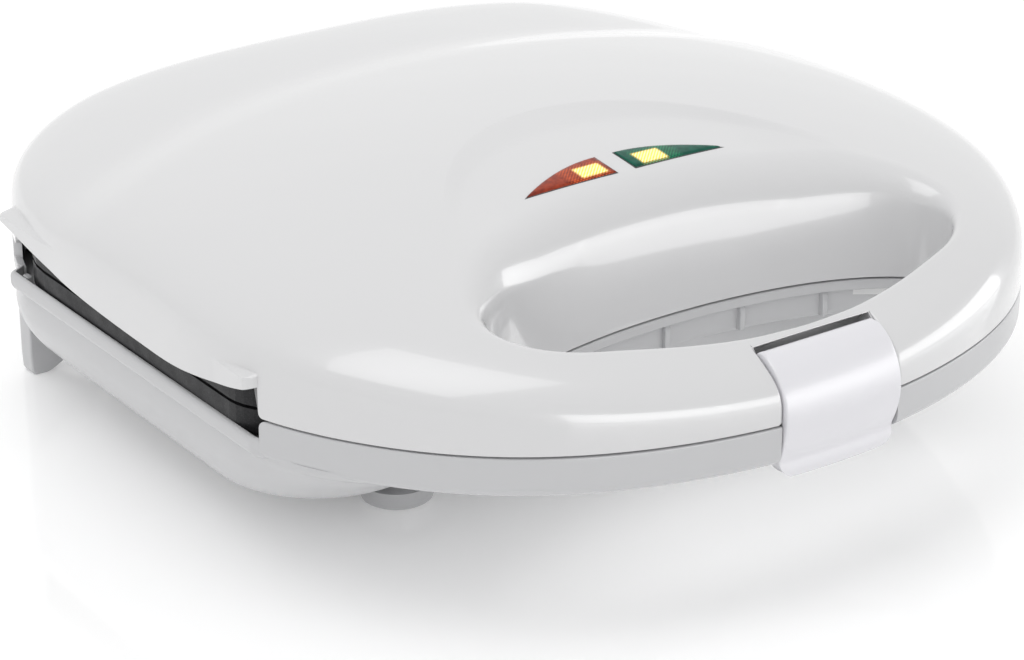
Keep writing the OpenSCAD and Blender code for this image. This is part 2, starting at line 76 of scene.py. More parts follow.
def mesh_obj(name, P, faces, mat, body, replaces=(), sharp=35, bevel=0.0, subdiv=0):
    me = bpy.data.meshes.new(name)
    me.from_pydata([tuple(v) for v in metres(P).tolist()], [], faces)
    bm = bmesh.new(); bm.from_mesh(me)
    bmesh.ops.remove_doubles(bm, verts=bm.verts, dist=1e-7)
    bmesh.ops.recalc_face_normals(bm, faces=bm.faces)
    bm.to_mesh(me); bm.free()
    ob = bpy.data.objects.new(name, me)
    bpy.context.scene.collection.objects.link(ob)
    me.materials.append(mat)
    for p in me.polygons: p.use_smooth = True
    if sharp: me.set_sharp_from_angle(angle=math.radians(sharp))
    if bevel:
        b = ob.modifiers.new("edge", "BEVEL"); b.width = bevel / 1000; b.segments = 3; b.limit_method = "ANGLE"; b.angle_limit = math.radians(40)
    if subdiv:
        s = ob.modifiers.new("sub", "SUBSURF"); s.levels = subdiv; s.render_levels = subdiv
    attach(ob, body)
    if replaces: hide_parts(*replaces)
    return ob


def grid_faces(K, M, wrap_k, wrap_m, base=0):
    k = np.arange(K if wrap_k else K - 1); m = np.arange(M if wrap_m else M - 1)
    kk, mm = np.meshgrid(k, m, indexing="ij"); k2 = (kk + 1) % K; m2 = (mm + 1) % M
    q = np.stack([kk * M + mm, k2 * M + mm, k2 * M + m2, kk * M + m2], -1).reshape(-1, 4) + base
    return q.tolist()


# ---------------------------------------------------------------- materials
def principled(name, color, rough, **kw):
    m = bpy.data.materials.new(name); m.use_nodes = True
    nt = m.node_tree; b = nt.nodes["Principled BSDF"]
    b.inputs["Base Color"].default_value = (*color, 1); b.inputs["Roughness"].default_value = rough
    for k, v in kw.items():
        b.inputs[k.replace("_", " ")].default_value = v
    return m, nt, b


def coords(nt, scale=(1, 1, 1)):
    tc = nt.nodes.new("ShaderNodeTexCoord"); mp = nt.nodes.new("ShaderNodeMapping")
    mp.inputs["Scale"].default_value = scale
    nt.links.new(tc.outputs["Object"], mp.inputs["Vector"])
    return mp.outputs["Vector"]


def noise(nt, vec, scale, detail=3.0, rough=0.5):
    n = nt.nodes.new("ShaderNodeTexNoise"); n.inputs["Scale"].default_value = scale
    n.inputs["Detail"].default_value = detail; n.inputs["Roughness"].default_value = rough
    nt.links.new(vec, n.inputs["Vector"])
    return n.outputs["Fac"]


def ramp(nt, fac, stops):
    r = nt.nodes.new("ShaderNodeValToRGB"); el = r.color_ramp.elements
    while len(el) < len(stops): el.new(0.5)
    for e, (p, c) in zip(el, stops):
        e.position = p; e.color = c if len(c) == 4 else (*c, 1)
    nt.links.new(fac, r.inputs["Fac"])
    return r.outputs["Color"]


def add_bump(nt, b, height, strength, dist):
    bp = nt.nodes.new("ShaderNodeBump"); bp.inputs["Strength"].default_value = strength; bp.inputs["Distance"].default_value = dist
    nt.links.new(height, bp.inputs["Height"]); nt.links.new(bp.outputs["Normal"], b.inputs["Normal"])


def plastic(name, color, rough, tint=0.03, bump=0.02, scale=900.0, coat=0.0, coat_rough=0.05):
    """Moulded plastic: faint tone drift, slight gloss drift and a fine moulded skin."""
    m, nt, b = principled(name, color, rough)
    b.inputs["Coat Weight"].default_value = coat; b.inputs["Coat Roughness"].default_value = coat_rough
    v = coords(nt)
    c0 = tuple(c * (1 - tint) for c in color); c1 = tuple(min(1.0, c * (1 + tint)) for c in color)
    nt.links.new(ramp(nt, noise(nt, v, 22, 4), [(0.3, c0), (0.7, c1)]), b.inputs["Base Color"])
    r0 = max(0.02, rough * 0.95); r1 = rough * 1.06
    nt.links.new(ramp(nt, noise(nt, v, 60, 3), [(0.3, (r0,) * 3), (0.7, (r1,) * 3)]), b.inputs["Roughness"])
    if bump > 0: add_bump(nt, b, noise(nt, v, scale, 3, 0.6), bump, 0.0002)
    return m


M_WHITE = plastic("white_gloss", (0.622, 0.622, 0.629), 0.2, 0.004, 0.003, coat=0.85, coat_rough=0.05)
# base parts use the lid's white plastic made darker: the lower albedo is painted shade for the lower body
M_BASE_SHADED = plastic("white_base_painted_shade", (0.515, 0.517, 0.527), 0.22, 0.003, 0.0)
M_CLIP = plastic("clip_plastic", (0.71, 0.705, 0.735), 0.24, 0.002, 0.0, 1400, coat=0.25, coat_rough=0.14)
M_FRAME = plastic("frame_plastic", (0.72, 0.72, 0.72), 0.38, 0.02, 0.08, 1200)
M_HOLDER = plastic("holder_plastic", (0.80, 0.78, 0.72), 0.45, 0.03, 0.08)


def coating():
    m, nt, b = principled("plate_coating", (0.02, 0.02, 0.021), 0.42, Specular_IOR_Level=0.22)
    v = coords(nt)
    sp = noise(nt, v, 2600, 2, 0.7)
    nt.links.new(ramp(nt, sp, [(0.35, (0.012, 0.012, 0.013)), (0.62, (0.023, 0.023, 0.025)), (0.78, (0.052, 0.052, 0.055))]), b.inputs["Base Color"])
    nt.links.new(ramp(nt, noise(nt, v, 240, 3), [(0.3, (0.34,) * 3), (0.7, (0.5,) * 3)]), b.inputs["Roughness"])
    add_bump(nt, b, sp, 0.18, 0.0002)
    return m


def brushed(name, color, rough, stretch):
    m, nt, b = principled(name, color, rough, Metallic=1.0)
    v = coords(nt, stretch)
    n = noise(nt, v, 500, 4, 0.6)
    nt.links.new(ramp(nt, n, [(0.3, tuple(c * 0.82 for c in color)), (0.7, color)]), b.inputs["Base Color"])
    nt.links.new(ramp(nt, n, [(0.3, (rough * 0.8,) * 3), (0.7, (min(1, rough * 1.3),) * 3)]), b.inputs["Roughness"])
    add_bump(nt, b, n, 0.12, 0.0002)
    return m


def rubber():
    m, nt, b = principled("pad_rubber", (0.06, 0.06, 0.06), 0.8)
    v = coords(nt); n = noise(nt, v, 1500, 4, 0.7)
    nt.links.new(ramp(nt, n, [(0.3, (0.04, 0.04, 0.04)), (0.7, (0.085, 0.085, 0.085))]), b.inputs["Base Color"])
    add_bump(nt, b, n, 0.4, 0.0003)
    return m


def glass():
    m, nt, b = principled("lamp_glass", (1.0, 0.8, 0.45), 0.08)
    b.inputs["Emission Color"].default_value = (1.0, 0.62, 0.18, 1); b.inputs["Emission Strength"].default_value = 1.2
    v = coords(nt)
    nt.links.new(ramp(nt, noise(nt, v, 400, 2), [(0.3, (0.95, 0.7, 0.35)), (0.7, (1.0, 0.86, 0.55))]), b.inputs["Base Color"])
    return m


def sleeve():
    m, nt, b = principled("wire_sleeve", (0.82, 0.80, 0.74), 0.6)
    v = coords(nt, (1, 0.25, 1)); n = noise(nt, v, 3000, 2, 0.6)
    nt.links.new(ramp(nt, n, [(0.35, (0.66, 0.64, 0.58)), (0.65, (0.86, 0.84, 0.78))]), b.inputs["Base Color"])
    add_bump(nt, b, n, 0.3, 0.0003)
    return m


def lens_mat(name, deep, mid, x0, x1, y0, y1, dirx):
    """Tinted lens over a lit dotted window. x and y limits of the window in mm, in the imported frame."""
    m, nt, b = principled(name, mid, 0.1)
    N, L = nt.nodes, nt.links
    tc = N.new("ShaderNodeTexCoord"); sep = N.new("ShaderNodeSeparateXYZ"); L.new(tc.outputs["Object"], sep.inputs[0])

    def mth(op, a, c=None, d=None):
        n = N.new("ShaderNodeMath"); n.operation = op
        for i, q in enumerate((a, c, d)):
            if q is None: continue
            if isinstance(q, (int, float)): n.inputs[i].default_value = q
            else: L.new(q, n.inputs[i])
        return n.outputs[0]

    def window(q, lo, hi, soft):
        a = mth("SMOOTH_MIN", mth("MULTIPLY_ADD", q, 1 / soft, -lo / soft), mth("MULTIPLY_ADD", q, -1 / soft, hi / soft), 0.2)
        n = mth("MINIMUM", mth("MAXIMUM", a, 0.0), 1.0)
        return n
    X, Y = mth("MULTIPLY", sep.outputs[0], 1000.0), mth("MULTIPLY", sep.outputs[1], 1000.0)
    core = mth("MULTIPLY", window(X, x0, x1, 0.9), window(Y, y0, y1, 0.8))
    fringe = mth("MULTIPLY", window(X, x0 - (4.5 if dirx < 0 else 0.8), x1 + (4.5 if dirx > 0 else 0.8), 2.2), window(Y, y0 - 1.2, y1 + 1.2, 0.9))
    sx = mth("SINE", mth("MULTIPLY", X, 2 * math.pi / 0.95)); sy = mth("SINE", mth("MULTIPLY", Y, 2 * math.pi / 0.95))
    dots = mth("MULTIPLY_ADD", mth("MULTIPLY", sx, sy), 0.5, 0.5)
    nz = noise(nt, tc.outputs["Object"], 500, 3)
    base = ramp(nt, nz, [(0.25, deep), (0.75, mid)])
    mix = N.new("ShaderNodeMix"); mix.data_type = "RGBA"
    L.new(core, mix.inputs[0]); L.new(base, mix.inputs[6]); mix.inputs[7].default_value = (0.12, 0.06, 0.01, 1)
    L.new(mix.outputs[2], b.inputs["Base Color"])
    glow = ramp(nt, dots, [(0.1, (0.82, 0.42, 0.01)), (0.45, (1.0, 0.72, 0.10)), (0.8, (1.0, 0.97, 0.66))])
    fr = ramp(nt, dots, [(0.3, (0, 0, 0)), (0.95, (min(1, mid[0] * 3.4), min(1, mid[1] * 3.4), mid[2] * 1.4))])
    mixe = N.new("ShaderNodeMix"); mixe.data_type = "RGBA"
    L.new(core, mixe.inputs[0]); L.new(fr, mixe.inputs[6]); L.new(glow, mixe.inputs[7])
    L.new(mixe.outputs[2], b.inputs["Emission Color"])
    est = mth("ADD", mth("MULTIPLY", core, 0.95), mth("MULTIPLY", fringe, 0.4))
    L.new(est, b.inputs["Emission Strength"])
    add_bump(nt, b, mth("MULTIPLY", dots, fringe), 0.15, 0.0003)
    b.inputs["Specular IOR Level"].default_value = 0.16
    return m


M_PLATE = coating()
M_TUBE = brushed("heater_tube", (0.62, 0.61, 0.60), 0.32, (1, 1, 1))
M_SHEET = brushed("reflector_sheet", (0.82, 0.83, 0.85), 0.22, (1, 12, 1))
M_STEEL = brushed("screw_steel", (0.70, 0.70, 0.72), 0.28, (1, 1, 8))
M_RUB = rubber(); M_GLASS = glass(); M_SLEEVE = sleeve()
M_RED = lens_mat("red_lens", (0.12, 0.012, 0.006), (0.40, 0.055, 0.018), -12.8, -4.2, -37.0, -31.4, -1)
M_GREEN = lens_mat("green_lens", (0.003, 0.05, 0.034), (0.010, 0.12, 0.078), 4.9, 13.6, -37.3, -31.3, 1)
M_GASKET = plastic("lens_edge", (0.05, 0.05, 0.05), 0.5, 0.1, 0.1)

# ---------------------------------------------------------------- body shape (design frame, mm)
_w = spline(np.radians([0, 20, 40, 55, 68, 80, 90]), [116, 117.4, 119.9, 119.6, 118.2, 115.05, 113.3], 0, 0)


def rout(T):
    T = np.abs((np.asarray(T, float) + np.pi) % (2 * np.pi) - np.pi)
    rb = ((np.abs(np.sin(T)) / 113.3) ** 3.68 + (np.abs(np.cos(T)) / 121.38) ** 3.68) ** (-1 / 3.68)
    return np.where(T > np.pi / 2, rb, _w(np.clip(T, 0, np.pi / 2)))


def y_ridge(x): return 62 - 0.0022 * x * x


def arch_out(x): return 2.3 - 0.0112 * x ** 2 - 0.9e-6 * x ** 4


def arch_in(x): return np.minimum(-8 - 0.0075 * x ** 2 - 1.6e-6 * x ** 4, arch_out(x) - 6.0)


STEP_W = 11.0


def crown(x, y):
    x2 = x * x / 1e4; Y = y / 100
    Yf = np.minimum(Y, 0.09); q = np.maximum(y - 9, 0)
    main = 81.984 + 2.272 * Yf - 15.567 * Yf ** 2 - 3.44 * Yf ** 3 - 1.177 * Yf ** 4 - 0.00617 * q - 1.15 * q * q / 1e3
    main = main - 7.226 * x2 - 2.606 * x2 ** 2 - 0.816 * x2 * Y
    rear = 76.75 - 8.0 * x2 - 1.6 * smooth(np.abs(x), 65, 108) - 0.012 * (y - 75)
    t = (y - y_ridge(x)) / STEP_W
    r = srel(t, 0.75) - srel(t - 1, 0.85)
    z = main + (rear - main) * np.clip(r, 0, 1)
    # control panel inside the arch
    t = (arch_out(x) - y) / (arch_out(x) - arch_in(x))
    d = 1.6 * (srel(t, 0.05) - srel(t - 1, 0.22)) * (1 - smooth(np.abs(x), 36, 59)) * smooth(y, -84, -62)
    return z - d


def lid_z(x, y):
    T = np.arctan2(x, -y); S = np.hypot(x, y) / rout(T)
    w = np.cos(T); f = np.clip(w, 0, 1) ** 2; b = np.clip(-w, 0, 1) ** 2; si = 1 - f - b
    m = 4.0 * f + 18 * si + 17 * b; n = 4.303 * f + 6.433 * si + 1.75 * b
    return 46.3 + (crown(x, y) - 46.3) * np.clip(1 - S ** m, 0, 1) ** (1 / n)


# ---------------------------------------------------------------- columns: grip hole edge, rim and outline, matched
TAB = np.array([
    # hole x, y   rim x, y    outline angle  rim rounding
    [0, -53.0, 0, -45.0, 180, 9.5], [12, -53.4, 12.3, -45.4, 158, 9.5], [24, -54.7, 24.6, -46.8, 137, 9.5],
    [36, -57.0, 37, -49.8, 116, 9.2], [47, -60.5, 48.6, -54.4, 98, 8.5], [55.5, -64.7, 57.4, -60.2, 83, 7.0],
    [61.5, -69.4, 63.5, -66.0, 68, 5.6], [64.2, -74.6, 66.0, -72.4, 55, 4.6], [63.7, -79.9, 65.1, -78.2, 45.5, 3.4],
    [60.2, -84.6, 61.6, -83.8, 37, 2.4], [53.4, -88.0, 54.6, -89.2, 29.5, 1.7], [43.8, -90.9, 44.8, -93.4, 23, 1.4],
    [31.2, -93.6, 31.4, -97.8, 15.6, 1.3], [17.2, -95.8, 17.2, -100.9, 8.46, 1.0], [8, -96.8, 8, -101.9, 3.93, 0.6],
    [0, -97.1, 0, -102.2, 0, 0.6]])
IU = np.arange(16.0)
f_hx, f_hy = spline(IU, TAB[:, 0]), spline(IU, TAB[:, 1], 0, 0)
f_rx, f_ry = spline(IU, TAB[:, 2]), spline(IU, TAB[:, 3], 0, 0)
f_T, f_rd = spline(IU, np.radians(TAB[:, 4])), spline(IU, TAB[:, 5], 0, 0)
_T = np.linspace(0, np.pi, 4001); _ox, _oy = rout(_T) * np.sin(_T), -rout(_T) * np.cos(_T)
NOTCH = 17.2; NOTCH_Y = -103.4


def col_T(u):
    T = f_T(u); x = f_rx(u); front = f_ry(u) < -90
    Tx = np.interp(np.abs(x), _ox[:800], _T[:800])
    w = np.where(front, 1 - smooth(np.abs(x), 24, 33), 0)
    return T * (1 - w) + Tx * w


_u = np.linspace(0, 15, 30001); _Tu = col_T(_u); _xu, _yu = rout(_Tu) * np.sin(_Tu), -rout(_Tu) * np.cos(_Tu)
_su = np.concatenate([[0], np.cumsum(np.hypot(np.diff(_xu), np.diff(_yu)))])


def arc_at(cond):
    return float(_su[np.argmax(cond)])


S_BAY = arc_at(_xu > 71.0)
S_WR = arc_at((_yu < 76.3) & (_xu > 90))
S_W2 = arc_at((_yu < 82.0) & (_xu > 80))
S_WF = arc_at((_yu < -45.2) & (_xu > 90))
S_NOTCH = arc_at((_xu < NOTCH) & (_yu < -90))
counts = [30, 30, 30, 26, 26, 26, 22, 18, 16, 14, 14, 14, 16, 16, 12]
us = np.concatenate([np.linspace(i, i + 1, n, endpoint=False) for i, n in enumerate(counts)] + [[15.0]])
extra = []
for se in (S_BAY, S_W2, S_WR, S_WF, S_NOTCH):
    for o in (-2.4, -1.8, -1.3, -0.9, -0.6, -0.38, -0.2, -0.08, -0.006, 0.006, 0.08, 0.2, 0.38, 0.6, 0.9, 1.3, 1.8, 2.4):
        extra.append(np.interp(se + o, _su, _u))
extra = np.array(extra)
keep = np.array([np.min(np.abs(np.interp(u, _u, _su) - np.interp(extra, _u, _su))) > 0.35 or u in (0.0, 15.0) for u in us])
us = np.sort(np.concatenate([us[keep], extra]))
K1 = len(us)


def columns(us):
    """Right half of the columns: hole edge, rim corner, outline point, arc length, rounding."""
    T = col_T(us)
    H = np.stack([f_hx(us), f_hy(us)], 1); R = np.stack([f_rx(us), f_ry(us)], 1)
    O = np.stack([rout(T) * np.sin(T), -rout(T) * np.cos(T)], 1)
    return H, R, O, np.interp(us, _u, _su), f_rd(us)


HB, RB, OB, SB, RD = columns(us)
in_notch = SB > S_NOTCH
in_win = (SB > S_WR) & (SB < S_WF)
in_gap = (SB > S_W2) & (SB < S_WF)
in_bay = SB < S_BAY


def round_end(s, r):
    """Height lost at a distance s from a corner of radius r."""
    q = np.clip(s, 0, r)
    return r - np.sqrt(np.maximum(r * r - (r - q) ** 2, 0))


# lid: lower edge height by column
zb = np.full(K1, 46.62)
f_zb = spline([-46, -37, -26, -14, 0, 15, 30, 45, 58, 68, 77, 90], [54.3, 51.9, 50.2, 49.0, 48.8, 49.1, 49.6, 50.5, 52.2, 54.0, 55.3, 56.2])
zb[in_win] = f_zb(OB[in_win, 1]); zb[in_bay] = 53.8
for se, inside in ((S_WF, 1), (S_WR, -1), (S_BAY, 1), (S_NOTCH, -1)):
    s = (SB - se) * inside
    m_ = (s > 0) & (s < 1.3)
    zb[m_] = np.maximum(zb[m_], 46.62 + round_end(s[m_], 1.3))

NA, NB, NC, ND1, ND2 = 14, 12, 120, 16, 20


def lid_half():
    zr = lid_z(RB[:, 0], RB[:, 1])
    C = np.stack([RB[:, 0], RB[:, 1], zr], 1)
    P0 = np.stack([HB[:, 0], HB[:, 1], np.full(K1, 46.62)], 1)
    dw = C - P0; Lw = np.linalg.norm(dw, axis=1, keepdims=True); dw = dw / Lw
    # plan direction of the top part
    D = OB - RB; LD = np.linalg.norm(D, axis=1, keepdims=True); d2 = D / LD
    rd = RD[:, None]
    A = C - dw * rd * np.where(RD[:, None] > 3, 1.1, 1.0)
    Bxy = RB + d2 * rd; Bz = lid_z(Bxy[:, 0], Bxy[:, 1])
    B = np.concatenate([Bxy, Bz[:, None]], 1)
    e = 0.05; B2 = RB + d2 * (rd + e); tb = np.concatenate([B2, lid_z(B2[:, 0], B2[:, 1])[:, None]], 1) - B
    tb /= np.linalg.norm(tb, axis=1, keepdims=True)
    ha = np.linalg.norm(C - A, axis=1, keepdims=True) * 0.58; hb = np.linalg.norm(C - B, axis=1, keepdims=True) * 0.58
    rows = []
    ta = np.linspace(0, 1, NA + 1)[:, None, None]
    wa = P0[None] + (A - P0)[None] * ta
    # straight hole wall from its lower edge up to the start of the rim round
    rows.append(wa[:-1])
    t = np.linspace(0, 1, NB + 1)[:, None, None]
    Q1 = A + dw * ha; Q2 = B - tb * hb
    bz = (1 - t) ** 3 * A + 3 * (1 - t) ** 2 * t * Q1 + 3 * (1 - t) * t * t * Q2 + t ** 3 * B
    rows.append(bz)
    # top: from B to the shoulder, sampled by feature density
    tt = np.linspace(0, 1, 1501)[None]
    Lt = (LD - rd)
    X = Bxy[:, :1] + d2[:, :1] * Lt * tt; Y = Bxy[:, 1:] + d2[:, 1:] * Lt * tt; Z = lid_z(X, Y)
    ds = Lt / 1500; slope = np.diff(Z, axis=1) / ds
    js = np.array([np.argmax((slope[k] < -1.05) & (tt[0, :-1] > 0.12)) for k in range(K1)])
    jn = np.array([np.argmax(Y[k] < NOTCH_Y) if in_notch[k] else 0 for k in range(K1)])
    js = np.where(in_notch, jn, js)
    top = np.zeros((NC, K1, 3))
    for k in range(K1):
        j = js[k]
        x, y, z = X[k, :j + 1], Y[k, :j + 1], Z[k, :j + 1]
        fo = np.minimum(np.abs(y - arch_out(x)), 40); fi = np.abs(y - arch_in(x)); fr = y - y_ridge(x)
        w = 0.42 + 1.7 * np.exp(-(fo / 1.6) ** 2) * (np.abs(x) < 70) + 0.5 * np.exp(-(fi / 3.0) ** 2) * (np.abs(x) < 70)
        w = w + 1.0 * np.exp(-((fr - 1) / 4.0) ** 2) + 0.5 * np.exp(-((fr - 9) / 6.0) ** 2)
        s = np.concatenate([[0], np.cumsum(np.hypot(np.diff(x) * 0 + ds[k, 0], np.diff(z)))])
        w = w + 1.0 * np.exp(-(s / 5) ** 2) + 1.4 * np.exp(-((s[-1] - s) / 6) ** 2)
        cw = np.concatenate([[0], np.cumsum((w[1:] + w[:-1]) / 2 * np.diff(s))])
        ti = np.interp(np.linspace(0, cw[-1], NC + 1)[1:], cw, s)
        top[:, k, 0] = np.interp(ti, s, x); top[:, k, 1] = np.interp(ti, s, y)
        top[:, k, 2] = lid_z(top[:, k, 0], top[:, k, 1])
    rows.append(top)
    # outer side down to the lower edge
    zs = top[-1, :, 2]
    zm = np.minimum(60.6, zs - 0.3 * (zs - 46.62))
    side = np.zeros((ND1 + ND2, K1, 3))
    a = np.linspace(0, 1, ND1 + 1)[1:, None]
    zz1 = zs + (zm - zs) * a ** 0.9
    b = np.linspace(0, 1, ND2 + 1)[1:, None]
    zz2 = zm + (zb - zm) * b
    zz = np.concatenate([zz1, zz2], 0)
    lo = np.repeat((js / 1500.0)[None], ND1 + ND2, 0); hi = np.ones_like(lo)
    for _ in range(36):
        mid = (lo + hi) / 2
        xm = Bxy[:, 0] + d2[:, 0] * Lt[:, 0] * mid; ym = Bxy[:, 1] + d2[:, 1] * Lt[:, 0] * mid
        up = lid_z(xm, ym) > zz
        lo = np.where(up, mid, lo); hi = np.where(up, hi, mid)
    side[:, :, 0] = Bxy[:, 0] + d2[:, 0] * Lt[:, 0] * lo; side[:, :, 1] = Bxy[:, 1] + d2[:, 1] * Lt[:, 0] * lo
    side[:, :, 2] = zz
    # height above the lower edge, clipped at 0.5 mm
    nz = np.clip(zz - zb, 0, 0.5)
    # eyebrow lip over the side window
    sl = np.minimum(SB - S_WR, S_WF - SB)
    end = np.where(in_win, np.sqrt(np.clip(1 - (1 - np.clip(sl / 2.2, 0, 1)) ** 2, 0, 1)), 0)
    g = 1 - smooth(zz, 56.5, 57.5)
    lipx = np.maximum(0, 112.5 - side[:, :, 0]) * g * end
    lipx = np.sqrt(lipx ** 2 + 0.09) - 0.3
    side[:, :, 0] += lipx
    # notch: vertical wall behind the clip
    for k in np.where(in_notch)[0]:
        e0 = top[-1, k]
        side[:, k, 0] = e0[0]
        zt = e0[2]
        r = 0.35; ang = np.linspace(0, np.pi / 2, 7)
        yy = np.concatenate([NOTCH_Y - r * np.sin(ang[1:]), np.full(ND1 + ND2 - 6, NOTCH_Y - r)])
        zq = np.concatenate([zt - r * (1 - np.cos(ang[1:])), np.linspace(zt - r, zb[k], ND1 + ND2 - 5)[1:]])
        # room behind the wall for the top of the clip as it turns about its pin
        room = -105.2 + np.sqrt(np.maximum(5.15 ** 2 - (zq - 56.0) ** 2, 0))
        room = np.where(np.abs(zq - 56.0) < 5.15, room, -200)
        side[:, k, 1] = np.maximum(yy, room); side[:, k, 2] = zq
    # edges beside the notch and at the ends of the window are slightly rounded over
    P = np.concatenate([r_ if r_.ndim == 3 else r_[None] for r_ in rows] + [side], 0)
    return P.transpose(1, 0, 2)


PH = lid_half()
MR = PH.shape[1]
left = PH[1:-1][::-1].copy(); left[:, :, 0] *= -1
LID = np.concatenate([PH, left], 0)
KK = LID.shape[0]


def normals(G, flip=1.0):
    a = np.roll(G, -1, 0) - np.roll(G, 1, 0)
    b = np.empty_like(G); b[:, 1:-1] = G[:, 2:] - G[:, :-2]; b[:, 0] = G[:, 1] - G[:, 0]; b[:, -1] = G[:, -1] - G[:, -2]
    n = np.cross(a, b) * flip
    return n / np.maximum(np.linalg.norm(n, axis=2, keepdims=True), 1e-9)


NRM = normals(LID)
if NRM[:, MR // 2, 2].mean() < 0: NRM = -NRM
# beside the notch the front face's own direction holds right up to the edge
for half in (range(0, K1), range(K1, KK)):
    _s = np.concatenate([SB, SB[1:-1][::-1]]); _n = np.concatenate([in_notch, in_notch[1:-1][::-1]])
    near = [k for k in half if not _n[k] and 0 < S_NOTCH - _s[k] < 0.75]
    far = max([k for k in half if not _n[k] and S_NOTCH - _s[k] >= 0.75], key=lambda k: _s[k])
    for k in near: NRM[k] = NRM[far]
# rounding of the edges that run down a column beside the notch
SBF = np.concatenate([SB, SB[1:-1][::-1]])
notch_f = np.concatenate([in_notch, in_notch[1:-1][::-1]])
edge = np.zeros(KK)
edge = np.where(~notch_f, round_end(S_NOTCH - SBF, 0.6), 0)
rowmask = np.zeros(MR); rowmask[NA + NB + NC - 60:] = smooth(np.arange(60 + 1 + ND1 + ND2), 0, 50)[:len(rowmask[NA + NB + NC - 60:])]
yw = smooth(-LID[:, :, 1], 103.0, 105.0)
LID = LID - NRM * (np.where(edge > 0, edge, 0)[:, None] * yw)[:, :, None]
th = np.where(notch_f, 0.3, 2.3)[:, None] * np.ones(MR)
th = np.minimum(th, 0.3 + 2.0 * np.ones(MR))
inner = LID - NRM * th[:, :, None]
zlow = np.concatenate([zb, zb[1:-1][::-1]])[:, None]
for r_, sgn in ((0, 1), (MR - 1, 1)):
    n2 = NRM[:, r_].copy(); n2[:, 2] = 0; n2 /= np.maximum(np.linalg.norm(n2, axis=1, keepdims=True), 1e-9)
    inner[:, r_] = LID[:, r_] - n2 * th[:, r_][:, None]
inner[:, :, 2] = np.maximum(inner[:, :, 2], 46.62)
nside = MR - ND2
inner[:, nside:, 2] = np.maximum(inner[:, nside:, 2], zlow)
# closed loop of rows: outer surface, then the inner one back
G = np.concatenate([LID, inner[:, ::-1]], 1)
lid_ob = mesh_obj("lid_cover", G.reshape(-1, 3), grid_faces(KK, G.shape[1], True, True), M_WHITE, "lid", ["top_cover"], sharp=42)

# ---------------------------------------------------------------- base ring
Q = 46.02
ZT = np.full(K1, Q); ZT[in_gap] = 41.3; ZT[in_bay] = 38.4
for se, inside in ((S_WF, 1), (S_W2, -1), (S_BAY, 1)):
    s = (SB - se) * inside
    m_ = (s > 0) & (s < 1.6)
    ZT[m_] = np.minimum(ZT[m_], Q - round_end(s[m_], 1.6))
OX = OB.copy()
wwin = np.where(in_win, np.clip(np.minimum(SB - S_WR, S_WF - SB) / 3.0, 0, 1), 0); wwin = wwin * wwin * (3 - 2 * wwin)
OX[:, 0] = OB[:, 0] + (110.7 - OB[:, 0]) * wwin
# latch seat: the front wall stands further back behind the clip
CLIPCUT = -111.6
OX[in_notch] = HB[in_notch] + (OX - HB)[in_notch] * ((CLIPCUT - HB[in_notch, 1]) / (OX - HB)[in_notch, 1])[:, None]


def base_section(k):
    """Closed loop of (distance from the hole edge along the column, height)."""
    L = float(np.linalg.norm(OX[k] - HB[k])); zt = ZT[k]; zbt = 36.3
    ro = 2.6 if not in_win[k] else 2.2
    back = HB[k, 1] > -75 and us[k] < 6.6
    rec = 1.5 * float(1 - smooth(us[k], 6.0, 6.8))
    loop = []
    # hole side, from the bottom up: recessed wall and lip
    r = 1.6
    for a in np.linspace(90, 0, 7): loop.append((rec + r - r * math.cos(math.radians(a)) + 0 * a, zbt + r - r * math.sin(math.radians(a))))
    for z in np.linspace(zbt + r, 43.2, 8)[1:]: loop.append((rec, z))
    for i, a in enumerate(np.linspace(0, 90, 5)[1:]): loop.append((rec * (1 - math.sin(math.radians(a))), 43.2 + 0.35 * (1 - math.cos(math.radians(a))) * (1 if rec > 0 else 0) + 0.02 * i))
    for z in np.linspace(43.7, Q - 0.35, 4)[:]: loop.append((0.0, z))
    for a in np.linspace(0, 90, 5)[1:]: loop.append((0.35 * (1 - math.cos(math.radians(a))), Q - 0.35 + 0.35 * math.sin(math.radians(a))))
    wt = 2.5 + rec * 0.6
    loop.append((wt, Q))
    fl = 38.3
    for z in np.linspace(Q - 0.4, fl, 5): loop.append((wt + 0.05, z))
    for q in np.linspace(wt, L - 2.6, 64)[1:-1]: loop.append((q, fl))
    zt2 = max(zt, fl + 0.05)
    wo = 1.75 if in_win[k] else 2.6
    for z in np.linspace(fl, zt2 - 0.1, 6): loop.append((L - wo, z))
    loop.append((L - wo + 0.1, zt2))
    r = 0.4 if not in_win[k] else 1.5
    for a in np.linspace(90, 0, 7): loop.append((L - r + r * math.cos(math.radians(a)), zt2 - r + r * math.sin(math.radians(a))))
    zc = zbt + ro if not in_win[k] else zbt + ro
    for z in np.linspace(zt2 - r, zc, 7)[1:]: loop.append((L, min(z, zt2 - r)))
    for a in np.linspace(0, 90, 10)[1:]: loop.append((L - ro + ro * math.cos(math.radians(a)), zc - ro * math.sin(math.radians(a))))
    for q in np.linspace(L - ro, rec + 1.6, 64)[1:-1]: loop.append((q, zbt))
    return loop


secs = [base_section(k) for k in range(K1)]
NS = len(secs[0])
BR = np.zeros((K1, NS, 3))
for k in range(K1):
    d = OX[k] - HB[k]; d = d / np.linalg.norm(d); q = np.array(secs[k])
    BR[k, :, 0] = HB[k, 0] + d[0] * q[:, 0]; BR[k, :, 1] = HB[k, 1] + d[1] * q[:, 0]; BR[k, :, 2] = q[:, 1]
BR[0, :, 0] = 0; BR[-1, :, 0] = 0
